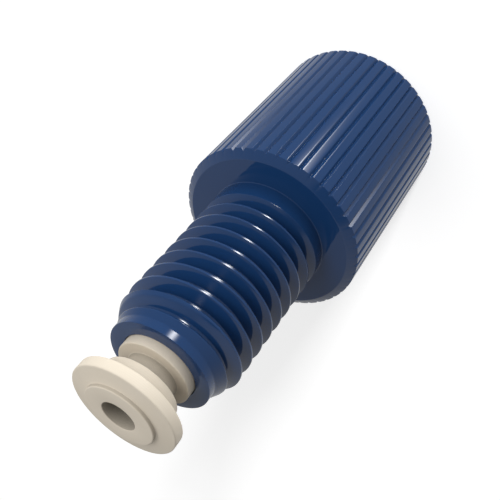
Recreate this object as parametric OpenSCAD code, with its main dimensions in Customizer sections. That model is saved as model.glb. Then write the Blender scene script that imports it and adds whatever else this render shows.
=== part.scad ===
/* [Head] */
// Diameter over the grip lands of the head
head_d = 9.9; // [9:0.1:14]
// Length of the head, from its rear face to the face under the shank
head_len = 11.15; // [6:0.05:18]
// Width of the front bevel, measured across the radius
bevel_w = 0.46; // [0.25:0.02:0.6]
// Length of the front bevel, measured along the axis
bevel_len = 0.3; // [0.15:0.05:0.6]
// Break on the rear edge of the head
rear_break = 0.1; // [0.05:0.01:0.2]
// Number of straight grip grooves round the head
groove_count = 50; // [24:1:56]
// Width of a grip groove at the surface
groove_w = 0.23; // [0.12:0.01:0.3]
// Depth of a grip groove
groove_depth = 0.115; // [0.06:0.005:0.2]

/* [Shank] */
// Length of the shank, from the head to the flat nose
shank_len = 9.55; // [7:0.05:14]
// Outer diameter of the thread and of the plain collar
thread_d = 6.35; // [6.1:0.05:6.8]
// Depth of the thread, from the top of a turn to the bottom of the groove
thread_depth = 0.575; // [0.4:0.005:0.58]
// Distance between two turns of the thread
thread_pitch = 0.907; // [0.85:0.001:1.1]
// Flat left on top of each turn
crest_w = 0.1; // [0.06:0.01:0.14]
// Angle between the two sides of a turn
thread_angle = 60; // [50:1:62]
// Length of the plain collar, from the head to where the thread groove starts
collar_len = 0.64; // [0.6:0.02:2]
// Fillet where the collar meets the head
collar_fillet = 0.04; // [0.02:0.02:0.5]
// Diameter of the plain nose ahead of the thread
nose_d = 5.15; // [4.8:0.05:5.15]
// Length of the plain nose
nose_len = 0.44; // [0.2:0.02:1]
// Slope of the lead-in cone, measured from the axis
lead_angle = 30; // [25:1:45]
// Break on the edge of the nose
nose_break = 0.03; // [0.02:0.01:0.1]

/* [Bore] */
// Outer diameter of the tube that the fitting grips
tube_d = 1.5875; // [1.2:0.0125:1.6]
// Clearance on the diameter between the tube and the ferrule
tube_play = 0.07; // [0.03:0.01:0.1]
// Clearance on the diameter between the tube and the nut
nut_play = 0.25; // [0.15:0.01:0.35]
// Diameter of the funnel where the tube goes in
funnel_d = 3.2; // [2.4:0.1:5]

/* [Ferrule] */
// Diameter of the ring that sits in the nose
ring_d = 3.64; // [3.4:0.02:3.8]
// Clearance all round between the ferrule and its seat
seat_play = 0.04; // [0.02:0.01:0.08]
// Length of the ring that stands out of the nose
ring_out = 0.45; // [0.2:0.05:1]
// Length of the ring inside the nose
ring_in = 0.8; // [0.4:0.05:1.5]
// Length of the neck ahead of the ring
neck_len = 0.76; // [0.4:0.02:1.2]
// Diameter of the neck
neck_d = 2.5; // [2.3:0.05:3]
// Length of the shoulder behind the flange
shoulder_len = 0.79; // [0.4:0.01:1.2]
// Diameter of the shoulder
shoulder_d = 3.6; // [3.2:0.05:4]
// Diameter of the flange
flange_d = 5.2; // [4.6:0.05:5.3]
// Thickness of the flange at its rim
flange_t = 0.55; // [0.35:0.01:0.8]
// Rise of the flange face from the rim to the boss
face_rise = 0.11; // [0.05:0.01:0.2]
// Diameter of the flat sealing boss
boss_d = 3.44; // [2.8:0.02:3.8]
// Height of the sealing boss above the flange face
boss_h = 0.19; // [0.15:0.01:0.4]
// Slope of the gripping cone, measured from the axis
grip_angle = 20; // [15:1:30]
// Diameter of the small end of the gripping cone
grip_end_d = 2.1; // [2.05:0.05:2.4]
// Rounding on the outer edges of the ferrule
edge_r = 0.06; // [0.04:0.01:0.12]

/* [Hidden] */
$fn = 96;
NUT_BLUE = "#2b4a86";
FERRULE_BEIGE = "#cfc3b0";

// Corner points of an arc about c, radius r, from angle a0 to a1
arc_steps = 6;
function arc(c, r, a0, a1) =
    [for (i = [0:arc_steps]) let (a = a0 + (a1 - a0) * i / arc_steps) c + r * [cos(a), sin(a)]];

head_r = head_d / 2;
thread_r = thread_d / 2;
root_r = thread_r - thread_depth;
nose_r = nose_d / 2;
ring_r = ring_d / 2;
neck_r = neck_d / 2;
shoulder_r = shoulder_d / 2;
flange_r = flange_d / 2;
boss_r = boss_d / 2;
grip_end_r = grip_end_d / 2;

// Heights along the axis, up from the rear face of the head
nose_z = head_len + shank_len;
lead_z = nose_z - nose_len;
lead_len = (thread_r - nose_r) / tan(lead_angle);

// Thread groove: a trapezoid carried along a right-hand helix, which sinks in as it leaves the collar
turn_steps = 40;
runout_turns = 0.45;
cutter_over = 0.07;
flank_run = tan(thread_angle / 2);
root_w = thread_pitch - crest_w - 2 * thread_depth * flank_run;
first_z = head_len + collar_len;
turns = (nose_z - first_z) / thread_pitch;

// Seat in the nose and the ferrule that lies in it
socket_r = ring_r + seat_play;
nut_bore_r = (tube_d + nut_play) / 2;
ferrule_bore_r = (tube_d + tube_play) / 2;
socket_z = nose_z - ring_in;
socket_cone_len = (socket_r - nut_bore_r) / tan(grip_angle);
funnel_r = funnel_d / 2;
cone_top_z = socket_z + seat_play;
grip_len = (ring_r - grip_end_r) / tan(grip_angle);
ring_z = nose_z + ring_out;
neck_z = ring_z + neck_len;
shoulder_z = neck_z + shoulder_len;
rim_z = shoulder_z + flange_t;
boss_z = rim_z + face_rise;
tip_z = boss_z + boss_h;
mouth_break = 0.04;

// One cross-section of the groove cutter at step i
function cutter_section(i) =
    let (
        a = 360 * i / turn_steps,
        z = first_z + thread_pitch * i / turn_steps,
        lift = (thread_depth + cutter_over) * max(0, 1 - i / (runout_turns * turn_steps)),
        r0 = root_r + lift,
        r1 = thread_r + cutter_over + lift,
        w0 = root_w / 2,
        w1 = root_w / 2 + (r1 - r0) * flank_run
    )
    [for (p = [[r0, -w0], [r1, -w1], [r1, w1], [r0, w0]]) [p[0] * cos(a), p[0] * sin(a), z + p[1]]];

module thread_cutter() {
    steps = ceil(turns * turn_steps);
    points = [for (i = [0:steps]) each cutter_section(i)];
    sides = [
        for (i = [0:steps - 1], k = [0:3])
        let (a = 4 * i + k, b = 4 * i + (k + 1) % 4, c = a + 4, d = b + 4)
        each [[a, b, d], [a, d, c]]
    ];
    last = 4 * steps;
    ends = [[0, 2, 1], [0, 3, 2], [last, last + 1, last + 2], [last, last + 2, last + 3]];
    polyhedron(points = points, faces = concat(sides, ends));
}

// Head with its grip grooves, bevelled at the front and broken at the rear
module head() {
    intersection() {
        linear_extrude(head_len)
            difference() {
                circle(head_r);
                for (i = [0:groove_count - 1])
                    rotate(360 * (i + 0.5) / groove_count)
                        polygon([
                            [head_r - groove_depth, 0],
                            [head_r + groove_depth, -groove_w],
                            [head_r + groove_depth, groove_w]
                        ]);
            }
        rotate_extrude()
            polygon([
                [0, 0],
                [head_r - rear_break, 0],
                [head_r, rear_break],
                [head_r, head_len - bevel_len],
                [head_r - bevel_w, head_len],
                [0, head_len]
            ]);
    }
}

// Collar, thread blank, lead-in cone and plain nose, turned as one profile
module shank() {
    difference() {
        rotate_extrude()
            polygon(concat(
                [[0, head_len - collar_fillet]],
                [[thread_r + collar_fillet, head_len - collar_fillet]],
                arc([thread_r + collar_fillet, head_len + collar_fillet], collar_fillet, 270, 180),
                [
                    [thread_r, lead_z - lead_len],
                    [nose_r, lead_z],
                    [nose_r, nose_z - nose_break],
                    [nose_r - nose_break, nose_z],
                    [0, nose_z]
                ]
            ));
        thread_cutter();
    }
}

// Tube bore, rear funnel and the stepped seat for the ferrule
module nut_bore() {
    rotate_extrude()
        polygon([
            [0, -1],
            [funnel_r + 1, -1],
            [nut_bore_r, funnel_r - nut_bore_r],
            [nut_bore_r, socket_z - socket_cone_len],
            [socket_r, socket_z],
            [socket_r, nose_z + 1],
            [0, nose_z + 1]
        ]);
}

module nut() {
    color(NUT_BLUE)
        difference() {
            union() {
                head();
                shank();
            }
            nut_bore();
        }
}

module ferrule() {
    color(FERRULE_BEIGE)
        rotate_extrude()
            polygon(concat(
                [
                    [ferrule_bore_r, cone_top_z - grip_len],
                    [grip_end_r, cone_top_z - grip_len],
                    [ring_r, cone_top_z]
                ],
                arc([ring_r - edge_r, ring_z - edge_r], edge_r, 0, 90),
                [
                    [neck_r, ring_z],
                    [neck_r, neck_z]
                ],
                arc([shoulder_r - edge_r, neck_z + edge_r], edge_r, 270, 360),
                [[shoulder_r, shoulder_z]],
                arc([flange_r - edge_r, shoulder_z + edge_r], edge_r, 270, 360),
                arc([flange_r - edge_r, rim_z - edge_r], edge_r, 0, 90),
                [[boss_r, boss_z]],
                arc([boss_r - edge_r, tip_z - edge_r], edge_r, 0, 90),
                [
                    [ferrule_bore_r + mouth_break, tip_z],
                    [ferrule_bore_r, tip_z - mouth_break]
                ]
            ));
}

nut();
ferrule();
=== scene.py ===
import math

import bmesh
import bpy
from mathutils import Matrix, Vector


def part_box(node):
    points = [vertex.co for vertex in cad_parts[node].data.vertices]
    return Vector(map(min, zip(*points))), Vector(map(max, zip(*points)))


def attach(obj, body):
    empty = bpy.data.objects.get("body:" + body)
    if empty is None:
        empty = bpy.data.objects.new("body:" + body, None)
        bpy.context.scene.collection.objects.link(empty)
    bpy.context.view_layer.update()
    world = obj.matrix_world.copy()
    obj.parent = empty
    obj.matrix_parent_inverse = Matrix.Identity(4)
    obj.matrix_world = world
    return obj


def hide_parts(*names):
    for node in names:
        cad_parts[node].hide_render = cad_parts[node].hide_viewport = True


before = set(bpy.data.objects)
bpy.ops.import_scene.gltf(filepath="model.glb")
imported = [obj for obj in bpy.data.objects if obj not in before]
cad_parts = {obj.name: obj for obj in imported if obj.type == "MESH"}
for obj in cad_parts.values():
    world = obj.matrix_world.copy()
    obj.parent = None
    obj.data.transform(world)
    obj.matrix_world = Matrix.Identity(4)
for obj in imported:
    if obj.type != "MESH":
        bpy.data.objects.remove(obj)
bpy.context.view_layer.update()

# ---------------------------------------------------------------------------
# Nut: the ribbed head, the plain collar, the threaded shank and the nose, all
# injection moulded in one piece from dyed acetal in a polished mould, so every
# face is smooth and glossy, and the edges are only just broken.
MM = 0.001
nut_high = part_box("nut")[1]
HEAD_R = nut_high.x / MM
NOSE_Z = nut_high.z / MM

HEAD_LEN = 11.15
REAR_BREAK = 0.1
FRONT_BEVEL_W = 0.46
FRONT_BEVEL_LEN = 0.3
GROOVES = 50
GROOVE_W = 0.23
GROOVE_DEPTH = 0.115
GROOVE_ROUND = 0.003
EDGE_ROUND = 0.02

THREAD_R = 3.175
THREAD_DEPTH = 0.575
PITCH = 0.907
CREST_W = 0.1
COLLAR_LEN = 0.64
COLLAR_FILLET = 0.04
RUNOUT_TURNS = 0.45
NOSE_R = 2.575
NOSE_LEN = 0.44
LEAD_SLOPE = math.tan(math.radians(30))
FLANK_SLOPE = 1 / math.tan(math.radians(30))
CREST_ROUND = 0.006
ROOT_ROUND = 0.03
STEPS_PER_TURN = 128

SOCKET_R = 1.86
SOCKET_DEPTH = 0.8
SOCKET_SLOPE = math.tan(math.radians(20))
TUBE_BORE_R = 0.91875
FUNNEL_R = 1.6


def soft_min(a, b, blend):
    """The smaller of two heights, with the corner between them rounded."""
    share = max(0.0, blend - abs(a - b)) / blend
    return min(a, b) - share * share * blend / 4


def soft_max(a, b, blend):
    """The larger of two heights, with the corner between them rounded."""
    return -soft_min(-a, -b, blend)


def shank_radius(turns, offset):
    """Radius of the shank, this many turns up the helix and this far along the axis from the groove's middle."""
    z = HEAD_LEN + COLLAR_LEN + PITCH * turns + offset
    half_mouth = (PITCH - CREST_W) / 2
    flank = THREAD_R + (abs(offset) - half_mouth) * FLANK_SLOPE
    groove = soft_max(THREAD_R - THREAD_DEPTH, flank, ROOT_ROUND)
    lift = (THREAD_DEPTH + 2 * CREST_ROUND) * max(0.0, 1 - turns / RUNOUT_TURNS)
    cone = NOSE_R + (NOSE_Z - NOSE_LEN - z) * LEAD_SLOPE
    envelope = soft_min(THREAD_R, soft_max(NOSE_R, cone, CREST_ROUND), CREST_ROUND)
    return z, soft_min(envelope, groove + lift, CREST_ROUND)


def groove_offsets():
    """Where the grid has a line across one turn, close together at the crest's and the root's corners."""
    crest_corner = (PITCH - CREST_W) / 2
    root_corner = crest_corner - THREAD_DEPTH / FLANK_SLOPE
    crest_reach = CREST_ROUND / FLANK_SLOPE
    root_reach = ROOT_ROUND / FLANK_SLOPE
    half = [0.0, root_corner - root_reach]
    half += [root_corner + root_reach * k / 2 for k in (-1, 0, 1, 2)]
    flank_from, flank_to = half[-1], crest_corner - crest_reach
    flank_steps = 8
    half += [flank_from + (flank_to - flank_from) * k / flank_steps for k in range(1, flank_steps + 1)]
    half += [crest_corner + crest_reach * k / 2 for k in (-1, 0, 1, 2)]
    half.append(PITCH / 2)
    return [-x for x in reversed(half[1:])] + half


def round_corner(before, corner, after, steps=3):
    """Points of a curve that cuts a corner, between a point before it and a point after it."""
    points = []
    for k in range(steps + 1):
        t = k / steps
        a = [p + (c - p) * t for p, c in zip(before, corner)]
        b = [c + (q - c) * t for c, q in zip(corner, after)]
        points.append(tuple(p + (q - p) * t for p, q in zip(a, b)))
    return points


def rounded_profile(corners, radii):
    """An open outline in (radius, height) with each inner corner rounded by its own reach."""
    outline = [corners[0]]
    for previous, corner, following, reach in zip(corners, corners[1:], corners[2:], radii):
        if reach == 0:
            outline.append(corner)
            continue
        back = Vector(previous) - Vector(corner)
        on = Vector(following) - Vector(corner)
        before = Vector(corner) + back.normalized() * reach
        after = Vector(corner) + on.normalized() * reach
        outline += round_corner(before, corner, after)
    outline.append(corners[-1])
    return outline


def ring_edges(mesh, height):
    """The open edges of a mesh that lie at this height, in millimetres."""
    return [
        e for e in mesh.edges
        if e.is_boundary and all(abs(v.co.z / MM - height) < 1e-3 for v in e.verts)
    ]


def carry_on(mesh, edges, outline):
    """Turns an open ring of edges through the points of an outline, and gives the last ring."""
    for radius, height in outline:
        grown = bmesh.ops.extrude_edge_only(mesh, edges=edges)["geom"]
        for v in (g for g in grown if isinstance(g, bmesh.types.BMVert)):
            flat = v.co.xy.normalized() * radius * MM
            v.co = (flat.x, flat.y, height * MM)
        edges = [g for g in grown if isinstance(g, bmesh.types.BMEdge)]
    return edges


def shank_grid(mesh):
    """The collar, thread, lead-in cone and nose, as one strip wound round the axis."""
    offsets = groove_offsets()
    fillet_top = HEAD_LEN + COLLAR_FILLET
    first = -math.ceil((COLLAR_LEN + PITCH) / PITCH * STEPS_PER_TURN)
    last = math.ceil((NOSE_Z - HEAD_LEN - COLLAR_LEN + PITCH) / PITCH * STEPS_PER_TURN)
    rows = []
    for i in range(first, last + 1):
        turns = i / STEPS_PER_TURN
        angle = 2 * math.pi * turns
        row = []
        for offset in offsets[:-1]:
            z, radius = shank_radius(turns, offset)
            row.append(mesh.verts.new((radius * MM * math.cos(angle), radius * MM * math.sin(angle), z * MM)))
        rows.append(row)
    for i in range(len(rows) - 1):
        for j in range(len(offsets) - 2):
            mesh.faces.new((rows[i][j], rows[i + 1][j], rows[i + 1][j + 1], rows[i][j + 1]))
        above = i + STEPS_PER_TURN
        if above + 1 < len(rows):
            mesh.faces.new((rows[i][-1], rows[i + 1][-1], rows[above + 1][0], rows[above][0]))
    for height, keep_above in ((fillet_top, True), (NOSE_Z - EDGE_ROUND, False)):
        bmesh.ops.bisect_plane(
            mesh,
            geom=mesh.verts[:] + mesh.edges[:] + mesh.faces[:],
            dist=1e-8,
            plane_co=(0, 0, height * MM),
            plane_no=(0, 0, 1),
            clear_inner=keep_above,
            clear_outer=not keep_above,
        )
    for v in mesh.verts:
        for height in (fillet_top, NOSE_Z - EDGE_ROUND):
            if abs(v.co.z / MM - height) < 1e-4:
                v.co.z = height * MM


def head_outline():
    """Radius and angle of each point round the head: 50 lands with a V groove between each pair."""
    step = 2 * math.pi / GROOVES
    half_mouth = GROOVE_W / 2 / HEAD_R
    land_points = 6
    points = []
    for k in range(GROOVES):
        middle = step * k
        edge = step / 2 - half_mouth
        points += [
            (HEAD_R, middle - edge + GROOVE_ROUND / HEAD_R + 2 * (edge - GROOVE_ROUND / HEAD_R) * n / land_points)
            for n in range(land_points + 1)
        ]
        slope = GROOVE_ROUND / HEAD_R
        drop = GROOVE_ROUND * GROOVE_DEPTH / (GROOVE_W / 2)
        corner = (HEAD_R, middle + edge)
        into = (HEAD_R - drop, middle + edge + slope)
        points += round_corner((HEAD_R, middle + edge - slope), corner, into, 2)[1:]
        bottom = (HEAD_R - GROOVE_DEPTH, middle + step / 2)
        near = (bottom[0] + drop, bottom[1] - slope)
        far = (bottom[0] + drop, bottom[1] + slope)
        points += round_corner(near, bottom, far, 2)
        following = (HEAD_R, middle + step - edge)
        out = (HEAD_R - drop, following[1] - slope)
        points += round_corner(out, following, (HEAD_R, following[1] + slope), 2)[:-1]
    return points


def head_rings(mesh):
    """The head's side, from its rear face to its front face, one ring of points at a time."""
    outline = head_outline()
    rear_r = HEAD_R - REAR_BREAK
    bevel = Vector((-FRONT_BEVEL_W, FRONT_BEVEL_LEN)).normalized()
    face_r = HEAD_R - FRONT_BEVEL_W
    columns = []
    for radius, angle in outline:
        rear_z = max(0.0, radius - rear_r)
        front_z = HEAD_LEN - FRONT_BEVEL_LEN + (HEAD_R - radius) * FRONT_BEVEL_LEN / FRONT_BEVEL_W
        column = [(rear_r - 2 * EDGE_ROUND, 0.0)]
        rear_corner = (min(radius, rear_r), 0.0)
        column += round_corner(
            (rear_corner[0] - EDGE_ROUND, 0.0), rear_corner, (min(radius, rear_r + EDGE_ROUND), EDGE_ROUND), 2
        )
        column += round_corner(
            (max(radius - EDGE_ROUND, rear_corner[0]), max(rear_z - EDGE_ROUND, 2 * EDGE_ROUND)),
            (radius, max(rear_z, 2.5 * EDGE_ROUND)),
            (radius, rear_z + 3 * EDGE_ROUND),
            2,
        )
        corner = Vector((radius, front_z))
        below = corner - Vector((0, EDGE_ROUND))
        column += round_corner(tuple(below), tuple(corner), tuple(corner + bevel * EDGE_ROUND))
        corner = Vector((face_r, HEAD_LEN))
        column += round_corner(tuple(corner - bevel * EDGE_ROUND), tuple(corner), (face_r - EDGE_ROUND, HEAD_LEN))
        columns.append([
            mesh.verts.new((r * MM * math.cos(angle), r * MM * math.sin(angle), z * MM)) for r, z in column
        ])
    for k, column in enumerate(columns):
        following = columns[(k + 1) % len(columns)]
        for j in range(len(column) - 1):
            mesh.faces.new((column[j], following[j], following[j + 1], column[j + 1]))


def nut_mesh():
    """The whole moulding as one closed mesh."""
    mesh = bmesh.new()
    shank_grid(mesh)
    fillet_top = HEAD_LEN + COLLAR_FILLET
    fillet = [
        (
            THREAD_R + COLLAR_FILLET * (1 - math.cos(math.radians(a))),
            fillet_top - COLLAR_FILLET * math.sin(math.radians(a)),
        )
        for a in range(10, 91, 10)
    ]
    shank_foot = carry_on(mesh, ring_edges(mesh, fillet_top), fillet)
    socket_z = NOSE_Z - SOCKET_DEPTH
    bore_z = socket_z - (SOCKET_R - TUBE_BORE_R) / SOCKET_SLOPE
    funnel_z = FUNNEL_R - TUBE_BORE_R
    bore = rounded_profile(
        [
            (NOSE_R, NOSE_Z - EDGE_ROUND),
            (NOSE_R, NOSE_Z),
            (SOCKET_R, NOSE_Z),
            (SOCKET_R, socket_z),
            (TUBE_BORE_R, bore_z),
            (TUBE_BORE_R, funnel_z),
            (FUNNEL_R, 0.0),
            (FUNNEL_R + 3 * EDGE_ROUND, 0.0),
        ],
        [EDGE_ROUND] * 6,
    )
    funnel_mouth = carry_on(mesh, ring_edges(mesh, NOSE_Z - EDGE_ROUND), bore[2:])
    head_rings(mesh)
    front = [e for e in ring_edges(mesh, HEAD_LEN) if e not in shank_foot]
    rear = [e for e in ring_edges(mesh, 0.0) if e not in funnel_mouth]
    for ring_pair in (shank_foot + front, funnel_mouth + rear):
        bmesh.ops.triangle_fill(mesh, use_beauty=True, use_dissolve=False, edges=ring_pair)
    bmesh.ops.remove_doubles(mesh, verts=mesh.verts[:], dist=1e-8)
    bmesh.ops.recalc_face_normals(mesh, faces=mesh.faces[:])
    return mesh


def show_piece(name, mesh, material):
    """A smooth-shaded object from a mesh, whose flat faces stay flat up to their rounded edges."""
    for face in mesh.faces:
        face.smooth = True
    data = bpy.data.meshes.new(name)
    mesh.to_mesh(data)
    mesh.free()
    data.materials.append(material)
    piece = bpy.data.objects.new(name, data)
    bpy.context.scene.collection.objects.link(piece)
    weighted = piece.modifiers.new("flat_faces", "WEIGHTED_NORMAL")
    weighted.mode = "FACE_AREA"
    weighted.weight = 60
    return piece


def linear(hex_colour):
    """An sRGB hex colour as linear red, green, blue and alpha."""
    channels = [int(hex_colour[i:i + 2], 16) / 255 for i in (1, 3, 5)]
    return [c / 12.92 if c <= 0.04045 else ((c + 0.055) / 1.055) ** 2.4 for c in channels] + [1.0]


def add_node(tree, kind, settings=None, inputs=None):
    """One shader node with its settings, its socket values and the sockets that feed it."""
    node = tree.nodes.new(kind)
    for key, value in (settings or {}).items():
        setattr(node, key, value)
    for key, value in (inputs or {}).items():
        if isinstance(value, bpy.types.NodeSocket):
            tree.links.new(value, node.inputs[key])
        else:
            node.inputs[key].default_value = value
    return node


# Moulded acetal, dyed dark blue all through: it takes a mirror gloss from the
# mould, with a trace of flow variation in the dye and a very shallow ripple.
NUT_BLUE = "#183863"
NUT_BLUE_FLOW = "#193a66"
FLOW_SIZE = 2.5
RIPPLE_SIZE = 0.6
RIPPLE_HEIGHT = 0.0004
GLOSS_FROM = 0.03
GLOSS_TO = 0.05
PLASTIC_IOR = 1.5

acetal = bpy.data.materials.new("blue_moulded_acetal")
acetal.use_nodes = True
tree = acetal.node_tree
tree.nodes.clear()
place = add_node(tree, "ShaderNodeTexCoord").outputs["Object"]
flow = add_node(tree, "ShaderNodeTexNoise", {"noise_dimensions": "3D"}, {
    "Vector": place, "Scale": 1 / (FLOW_SIZE * MM), "Detail": 2.0, "Roughness": 0.5, "Distortion": 0.6,
})
dye = add_node(tree, "ShaderNodeMix", {"data_type": "RGBA"}, {
    "Factor": flow.outputs["Fac"], "A": linear(NUT_BLUE), "B": linear(NUT_BLUE_FLOW),
})
polish = add_node(tree, "ShaderNodeMapRange", {}, {
    "Value": flow.outputs["Fac"], "From Min": 0.3, "From Max": 0.7, "To Min": GLOSS_FROM, "To Max": GLOSS_TO,
})
ripple = add_node(tree, "ShaderNodeTexNoise", {}, {
    "Vector": place, "Scale": 1 / (RIPPLE_SIZE * MM), "Detail": 1.0,
})
bump = add_node(tree, "ShaderNodeBump", {}, {
    "Height": ripple.outputs["Fac"], "Distance": RIPPLE_HEIGHT * MM, "Strength": 1.0,
})
plastic = add_node(tree, "ShaderNodeBsdfPrincipled", {}, {
    "Base Color": dye.outputs["Result"], "Roughness": polish.outputs["Result"], "IOR": PLASTIC_IOR,
    "Normal": bump.outputs["Normal"],
})
add_node(tree, "ShaderNodeOutputMaterial", {}, {"Surface": plastic.outputs["BSDF"]})

nut = show_piece("nut_moulding", nut_mesh(), acetal)
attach(nut, "nut")
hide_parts("nut")

# ---------------------------------------------------------------------------
# Ferrule: ring, neck, shoulder, flange and sealing boss, turned in one piece
# from natural PEEK, so it is a warm beige with a soft satin finish.
ferrule_low, ferrule_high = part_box("ferrule")
FLANGE_R = ferrule_high.x / MM
TIP_Z = ferrule_high.z / MM
BACK_Z = ferrule_low.z / MM
FERRULE_BORE_R = 0.82875
GRIP_END_R = 1.05
RING_R = 1.82
GRIP_SLOPE = math.tan(math.radians(20))
RING_OUT = 0.45
NECK_R = 1.25
NECK_LEN = 0.76
SHOULDER_R = 1.8
SHOULDER_LEN = 0.79
FLANGE_T = 0.55
BOSS_R = 1.72
BOSS_H = 0.19
BOSS_ROUND = 0.06
TURNED_ROUND = 0.06
INNER_ROUND = 0.04
NECK_TOP_ROUND = 0.03
NECK_FOOT_ROUND = 0.06
MOUTH_ROUND = 0.04
CONE_ROUND = 0.04
BACK_ROUND = 0.02
BORE_END = 0.5
FERRULE_STEPS = 192


def ferrule_mesh():
    """The ferrule's outline turned round the axis, closed through its bore."""
    cone_top = BACK_Z + (RING_R - GRIP_END_R) / GRIP_SLOPE
    ring_z = NOSE_Z + RING_OUT
    neck_z = ring_z + NECK_LEN
    shoulder_z = neck_z + SHOULDER_LEN
    rim_z = shoulder_z + FLANGE_T
    face_z = TIP_Z - BOSS_H
    corners = [
        (FERRULE_BORE_R, TIP_Z - BORE_END),
        (FERRULE_BORE_R, TIP_Z),
        (BOSS_R, TIP_Z),
        (BOSS_R, face_z),
        (FLANGE_R, rim_z),
        (FLANGE_R, shoulder_z),
        (SHOULDER_R, shoulder_z),
        (SHOULDER_R, neck_z),
        (NECK_R, neck_z),
        (NECK_R, ring_z),
        (RING_R, ring_z),
        (RING_R, cone_top),
        (GRIP_END_R, BACK_Z),
        (FERRULE_BORE_R, BACK_Z),
        (FERRULE_BORE_R, BACK_Z + BORE_END),
    ]
    radii = [
        MOUTH_ROUND, BOSS_ROUND, INNER_ROUND, TURNED_ROUND, TURNED_ROUND, INNER_ROUND, TURNED_ROUND,
        NECK_TOP_ROUND, NECK_FOOT_ROUND, TURNED_ROUND, CONE_ROUND, BACK_ROUND, BACK_ROUND,
    ]
    outline = rounded_profile(corners, radii)
    mesh = bmesh.new()
    rings = []
    for radius, height in outline:
        rings.append([
            mesh.verts.new((
                radius * MM * math.cos(2 * math.pi * k / FERRULE_STEPS),
                radius * MM * math.sin(2 * math.pi * k / FERRULE_STEPS),
                height * MM,
            ))
            for k in range(FERRULE_STEPS)
        ])
    for a, b in zip(rings, rings[1:] + rings[:1]):
        for k in range(FERRULE_STEPS):
            n = (k + 1) % FERRULE_STEPS
            mesh.faces.new((a[k], a[n], b[n], b[k]))
    bmesh.ops.recalc_face_normals(mesh, faces=mesh.faces[:])
    return mesh


# Natural PEEK, turned and lightly tumbled: satin, with faint tool marks round
# the axis and a slight mottle in the resin. Painted shade, from an ambient-occlusion
# value, darkens the base colour of its bore, its neck and the foot of its boss, where little light gets in.
PEEK_BEIGE = "#dfd5c5"
PEEK_MOTTLE = "#dcd1bf"
MOTTLE_SIZE = 0.9
# Real tool marks are about 0.03 mm apart, too fine to show, so they are drawn at 0.09 mm.
TOOL_MARK = 0.09
TOOL_MARK_DEPTH = 0.0006
SATIN = 0.55
SATIN_SPECULAR = 0.25
# How far the painted shade looks for nearby faces, and how dark it gets at its deepest.
GROOVE_REACH = 1.8
GROOVE_SHADE = 0.12
# Faces that look up past the second of these get none of that painted shade.
FACE_UP_FROM = 0.4
FACE_UP_TO = 0.9

peek = bpy.data.materials.new("natural_turned_peek")
peek.use_nodes = True
tree = peek.node_tree
tree.nodes.clear()
place = add_node(tree, "ShaderNodeTexCoord").outputs["Object"]
mottle = add_node(tree, "ShaderNodeTexNoise", {}, {
    "Vector": place, "Scale": 1 / (MOTTLE_SIZE * MM), "Detail": 3.0,
})
resin_and_painted_shade = add_node(tree, "ShaderNodeMix", {"data_type": "RGBA"}, {
    "Factor": mottle.outputs["Fac"], "A": linear(PEEK_BEIGE), "B": linear(PEEK_MOTTLE),
})
surface = add_node(tree, "ShaderNodeNewGeometry")
# Painted shade: an ambient-occlusion value darkens the base colour in hollows.
openness = add_node(tree, "ShaderNodeAmbientOcclusion", {"samples": 8, "only_local": True}, {
    "Distance": GROOVE_REACH * MM,
})
shade = add_node(tree, "ShaderNodeMapRange", {}, {
    "Value": openness.outputs["AO"], "From Min": 0.1, "From Max": 0.9, "To Min": GROOVE_SHADE, "To Max": 1.0,
})
facing = add_node(tree, "ShaderNodeSeparateXYZ", {}, {"Vector": surface.outputs["Normal"]})
shade = add_node(tree, "ShaderNodeMapRange", {}, {
    "Value": facing.outputs["Z"], "From Min": FACE_UP_FROM, "From Max": FACE_UP_TO,
    "To Min": shade.outputs["Result"], "To Max": 1.0,
})
# The resin's colour multiplied by the painted shade.
resin_and_painted_shade = add_node(tree, "ShaderNodeMix", {"data_type": "RGBA", "blend_type": "MULTIPLY"}, {
    "Factor": 1.0, "A": resin_and_painted_shade.outputs["Result"], "B": shade.outputs["Result"],
})
axis_place = add_node(tree, "ShaderNodeSeparateXYZ", {}, {"Vector": place})
across = add_node(tree, "ShaderNodeCombineXYZ", {}, {"X": axis_place.outputs["X"], "Y": axis_place.outputs["Y"]})
radius_out = add_node(tree, "ShaderNodeVectorMath", {"operation": "LENGTH"}, {"Vector": across.outputs["Vector"]})
feed = add_node(tree, "ShaderNodeMath", {"operation": "ADD"}, {
    0: radius_out.outputs["Value"], 1: axis_place.outputs["Z"],
})
phase = add_node(tree, "ShaderNodeMath", {"operation": "MULTIPLY"}, {
    0: feed.outputs["Value"], 1: 2 * math.pi / (TOOL_MARK * MM),
})
marks = add_node(tree, "ShaderNodeMath", {"operation": "SINE"}, {0: phase.outputs["Value"]})
bump = add_node(tree, "ShaderNodeBump", {}, {
    "Height": marks.outputs["Value"], "Distance": TOOL_MARK_DEPTH * MM, "Strength": 1.0,
})
plastic = add_node(tree, "ShaderNodeBsdfPrincipled", {}, {
    "Base Color": resin_and_painted_shade.outputs["Result"], "Roughness": SATIN, "IOR": PLASTIC_IOR, "Specular IOR Level": SATIN_SPECULAR,
    "Normal": bump.outputs["Normal"],
})
add_node(tree, "ShaderNodeOutputMaterial", {}, {"Surface": plastic.outputs["BSDF"]})

ferrule = show_piece("ferrule_turning", ferrule_mesh(), peek)
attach(ferrule, "ferrule")
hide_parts("ferrule")

# ---------------------------------------------------------------------------
# Table: a plain white sheet on which the fitting stands on its head. A glow
# that only the camera sees makes it white, and it keeps the fitting's shadow.
# The fitting doesn't see it, so the room's low light reaches its lower sides.
TABLE_WHITE = "#d8d8d8"
TABLE_HALF = 0.6
TABLE_GLOW = 0.5

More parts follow.
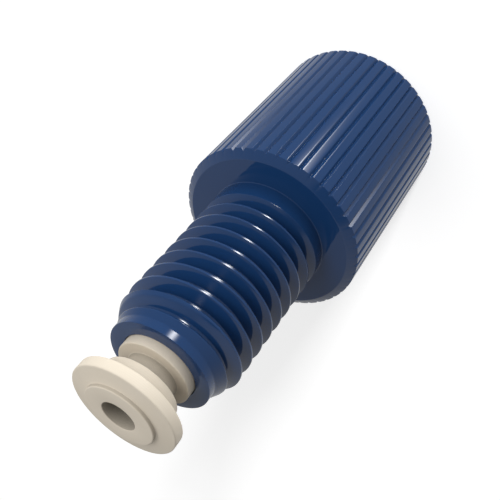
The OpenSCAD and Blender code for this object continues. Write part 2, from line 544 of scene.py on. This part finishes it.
sheet = bmesh.new()
bmesh.ops.create_grid(sheet, x_segments=1, y_segments=1, size=TABLE_HALF)
paper = bpy.data.materials.new("white_paper")
paper.use_nodes = True
tree = paper.node_tree
tree.nodes.clear()
matt = add_node(tree, "ShaderNodeBsdfDiffuse", {}, {"Color": linear(TABLE_WHITE)})
ray = add_node(tree, "ShaderNodeLightPath")
glow_strength = add_node(tree, "ShaderNodeMath", {"operation": "MULTIPLY"}, {
    0: ray.outputs["Is Camera Ray"], 1: TABLE_GLOW,
})
glow = add_node(tree, "ShaderNodeEmission", {}, {"Strength": glow_strength.outputs["Value"]})
both = add_node(tree, "ShaderNodeAddShader", {}, {0: matt.outputs["BSDF"], 1: glow.outputs["Emission"]})
add_node(tree, "ShaderNodeOutputMaterial", {}, {"Surface": both.outputs["Shader"]})
table_data = bpy.data.meshes.new("table")
sheet.to_mesh(table_data)
sheet.free()
table_data.materials.append(paper)
table = bpy.data.objects.new("table", table_data)
bpy.context.scene.collection.objects.link(table)
table.visible_glossy = False
table.visible_diffuse = False
table.visible_shadow = False

# ---------------------------------------------------------------------------
# Studio: glossy faces mirror a plain pale room with two brighter walls, a dark
# spot overhead and a small strip lamp, the highlight on each turn of the thread.
# Matt faces get two broad soft lights; one lamp more lights them, one the table.
ROOM_BASE = 0.368
PANEL_GLOW = 0.32
PANEL_TOWARDS = (25, 122)
PANEL_FOCUS = 5.0
DARK_SPOT = 0.104
DARK_SPOT_TOWARDS = 198
DARK_SPOT_RAISE = 60
DARK_SPOT_INNER = 12
DARK_SPOT_OUTER = 23
STRIP_TOWARDS = 264
STRIP_RAISE = -35.5
STRIP_HALF_WIDTH = 4.7
STRIP_HALF_HEIGHT = 5.5
STRIP_STRENGTH = 35
DARK_SIDE = 0.0536
LOW_LIGHT_TOWARDS = 264
LOW_LIGHT_RAISE = -54
LOW_LIGHT_FOCUS = 2.8
LOW_LIGHT = 2.92
HIGH_LIGHT_TOWARDS = 323
HIGH_LIGHT_RAISE = 65
HIGH_LIGHT_FOCUS = 4.23
HIGH_LIGHT = 1.16
LAMP_TOWARDS = 296
LAMP_RAISE = 38
LAMP_SIZE = 0.45
LAMP_LEVEL = 0.33
FLOOR_LAMP_TOWARDS = 260
FLOOR_LAMP_RAISE = 16
FLOOR_LAMP_SIZE = 0.17
FLOOR_LAMP_LEVEL = 1.25
LAMP_AWAY = 1.0

world = bpy.data.worlds.new("studio_room")
bpy.context.scene.world = world
world.use_nodes = True
world.cycles.sampling_method = "NONE"
tree = world.node_tree
tree.nodes.clear()


def room_maths(operation, *values):
    """One arithmetic node of the room's brightness, and its result."""
    return add_node(tree, "ShaderNodeMath", {"operation": operation}, dict(enumerate(values))).outputs["Value"]


looking = add_node(tree, "ShaderNodeTexCoord").outputs["Generated"]
parts = add_node(tree, "ShaderNodeSeparateXYZ", {}, {"Vector": looking})
level = add_node(tree, "ShaderNodeCombineXYZ", {}, {"X": parts.outputs["X"], "Y": parts.outputs["Y"]})
heading = add_node(tree, "ShaderNodeVectorMath", {"operation": "NORMALIZE"}, {"Vector": level.outputs["Vector"]})
wall_level = ROOM_BASE
for panel in PANEL_TOWARDS:
    facing = add_node(tree, "ShaderNodeVectorMath", {"operation": "DOT_PRODUCT"}, {
        0: heading.outputs["Vector"],
        1: (math.cos(math.radians(panel)), math.sin(math.radians(panel)), 0),
    }).outputs["Value"]
    lobe = room_maths("POWER", room_maths("MAXIMUM", facing, 0.0), PANEL_FOCUS)
    wall_level = room_maths("MULTIPLY_ADD", lobe, PANEL_GLOW, wall_level)
a, e = math.radians(DARK_SPOT_TOWARDS), math.radians(DARK_SPOT_RAISE)
near_spot = add_node(tree, "ShaderNodeVectorMath", {"operation": "DOT_PRODUCT"}, {
    0: looking, 1: (math.cos(a) * math.cos(e), math.sin(a) * math.cos(e), math.sin(e)),
}).outputs["Value"]
spot = add_node(tree, "ShaderNodeMapRange", {"interpolation_type": "SMOOTHSTEP"}, {
    "Value": near_spot,
    "From Min": math.cos(math.radians(DARK_SPOT_OUTER)), "From Max": math.cos(math.radians(DARK_SPOT_INNER)),
})
wall_level = add_node(tree, "ShaderNodeMix", {}, {
    "Factor": spot.outputs["Result"], "A": wall_level, "B": DARK_SPOT,
}).outputs["Result"]
raise_angle = room_maths("ARCSINE", parts.outputs["Z"])
azimuth = room_maths("ARCTAN2", parts.outputs["Y"], parts.outputs["X"])
turned = room_maths("SUBTRACT", azimuth, math.radians(STRIP_TOWARDS - 360))
across_strip = room_maths("DIVIDE", turned, math.radians(STRIP_HALF_WIDTH))
up_strip = room_maths(
    "DIVIDE", room_maths("SUBTRACT", raise_angle, math.radians(STRIP_RAISE)), math.radians(STRIP_HALF_HEIGHT)
)
spread = room_maths("MULTIPLY_ADD", across_strip, across_strip, room_maths("MULTIPLY", up_strip, up_strip))
strip = room_maths("MULTIPLY", room_maths("EXPONENT", room_maths("MULTIPLY", spread, -0.5)), STRIP_STRENGTH)
mirrored = room_maths("ADD", wall_level, strip)
soft = DARK_SIDE
for towards, raised, focus, strength in (
    (LOW_LIGHT_TOWARDS, LOW_LIGHT_RAISE, LOW_LIGHT_FOCUS, LOW_LIGHT),
    (HIGH_LIGHT_TOWARDS, HIGH_LIGHT_RAISE, HIGH_LIGHT_FOCUS, HIGH_LIGHT),
):
    a, e = math.radians(towards), math.radians(raised)
    facing = add_node(tree, "ShaderNodeVectorMath", {"operation": "DOT_PRODUCT"}, {
        0: looking, 1: (math.cos(a) * math.cos(e), math.sin(a) * math.cos(e), math.sin(e)),
    }).outputs["Value"]
    lobe = room_maths("EXPONENT", room_maths("MULTIPLY_ADD", facing, focus, -focus))
    soft = room_maths("MULTIPLY_ADD", lobe, strength, soft)
ray = add_node(tree, "ShaderNodeLightPath")
gloss = add_node(tree, "ShaderNodeMix", {}, {
    "Factor": ray.outputs["Is Glossy Ray"], "A": soft, "B": mirrored,
})
shown = add_node(tree, "ShaderNodeMix", {}, {
    "Factor": ray.outputs["Is Camera Ray"], "A": gloss.outputs["Result"], "B": 1.0,
})
room = add_node(tree, "ShaderNodeBackground", {}, {"Color": linear("#ffffff"), "Strength": shown.outputs["Result"]})
add_node(tree, "ShaderNodeOutputWorld", {}, {"Surface": room.outputs["Background"]})


def soft_lamp(name, towards, raised, size, level):
    """A square lamp aimed at the fitting; level is what a white face turned to it shows."""
    lamp = bpy.data.lights.new(name, "AREA")
    lamp.shape = "SQUARE"
    lamp.size = size
    lamp.energy = level * math.pi * math.pi * LAMP_AWAY ** 2
    holder = bpy.data.objects.new(name, lamp)
    a, e = math.radians(towards), math.radians(raised)
    aim = Vector((0, 0, NOSE_Z * MM / 2))
    out = Vector((math.cos(a) * math.cos(e), math.sin(a) * math.cos(e), math.sin(e)))
    holder.location = aim + out * LAMP_AWAY
    holder.rotation_euler = out.to_track_quat("Z", "Y").to_euler()
    holder.visible_glossy = False
    holder.visible_camera = False
    bpy.context.scene.collection.objects.link(holder)
    return holder


def light_only(lamp, name, *pieces):
    """Keeps a lamp's light to these pieces."""
    lit = bpy.data.collections.new(name)
    for piece in pieces:
        lit.objects.link(piece)
    lamp.light_linking.receiver_collection = lit


side_lamp = soft_lamp("side_lamp", LAMP_TOWARDS, LAMP_RAISE, LAMP_SIZE, LAMP_LEVEL)
light_only(side_lamp, "lit_by_side_lamp", nut, ferrule)
floor_lamp = soft_lamp("floor_lamp", FLOOR_LAMP_TOWARDS, FLOOR_LAMP_RAISE, FLOOR_LAMP_SIZE, FLOOR_LAMP_LEVEL)
light_only(floor_lamp, "lit_by_floor_lamp", table)

# ---------------------------------------------------------------------------
# Camera: a 50 mm lens beside the fitting and a little above it, looking down
# from its ferrule end, rolled so that the head points to the upper right.
CAMERA_AT = Vector((-10.4834, -25.3184, 34.1108)) * MM
LOOK_TOWARDS = 67.246
LOOK_DOWN = 38.114
ROLL = -140.80

camera = bpy.data.cameras.new("camera")
camera.lens = 50
camera.sensor_width = 36
camera.clip_start = 0.001
camera_holder = bpy.data.objects.new("camera", camera)
a, d = math.radians(LOOK_TOWARDS), math.radians(LOOK_DOWN)
forward = Vector((math.cos(a) * math.cos(d), math.sin(a) * math.cos(d), -math.sin(d)))
level_right = forward.cross(Vector((0, 0, 1))).normalized()
level_up = level_right.cross(forward)
r = math.radians(ROLL)
right = level_right * math.cos(r) + level_up * math.sin(r)
up = right.cross(forward)
pose = camera_holder.matrix_world
for row in range(3):
    pose[row][0], pose[row][1], pose[row][2], pose[row][3] = right[row], up[row], -forward[row], CAMERA_AT[row]
camera_holder.matrix_world = pose
bpy.context.scene.collection.objects.link(camera_holder)
bpy.context.scene.camera = camera_holder
bpy.context.scene.view_settings.view_transform = "Standard"
